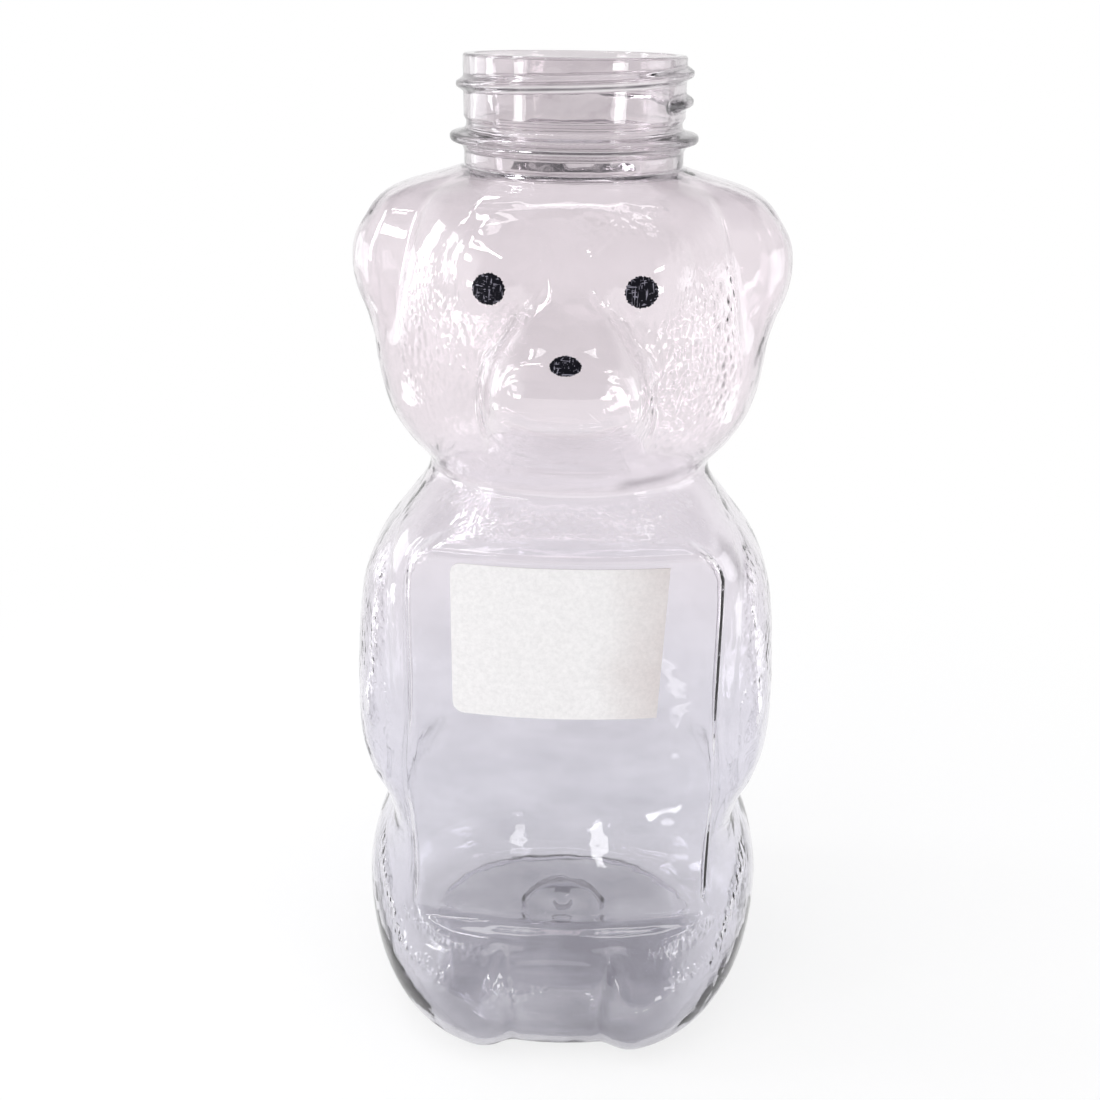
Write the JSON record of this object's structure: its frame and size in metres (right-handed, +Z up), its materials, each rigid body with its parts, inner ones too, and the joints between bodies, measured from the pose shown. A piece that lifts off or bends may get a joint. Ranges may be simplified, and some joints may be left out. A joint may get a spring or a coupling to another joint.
{
  "type": "honey bear bottle",
  "caption": "Clear squeeze bottle shaped like a sitting bear, open neck with ring, black printed eyes and nose, small white paper sticker on the front panel",
  "frame": {"origin": "middle of the standing base, in the plane of the standing ring", "axes": "+Z up, the face looks towards -Y, +X is the bear's own left. The neck axis is vertical and 5.71 mm behind the origin"},
  "size_m": [0.0744, 0.0676, 0.1652],
  "materials": {
    "clear_plastic": "clear, smooth as blown",
    "black_ink": "pad-printed ink, satin",
    "adhesive": "thin pressure-sensitive layer",
    "paper": "matt, uncoated"
  },
  "bodies": {
    "root": {"bottle_shell": "clear_plastic", "eye_left": "black_ink", "eye_right": "black_ink", "nose": "black_ink", "sticker_adhesive": "adhesive", "sticker_paper": "paper"}
  },
  "joints": []
}
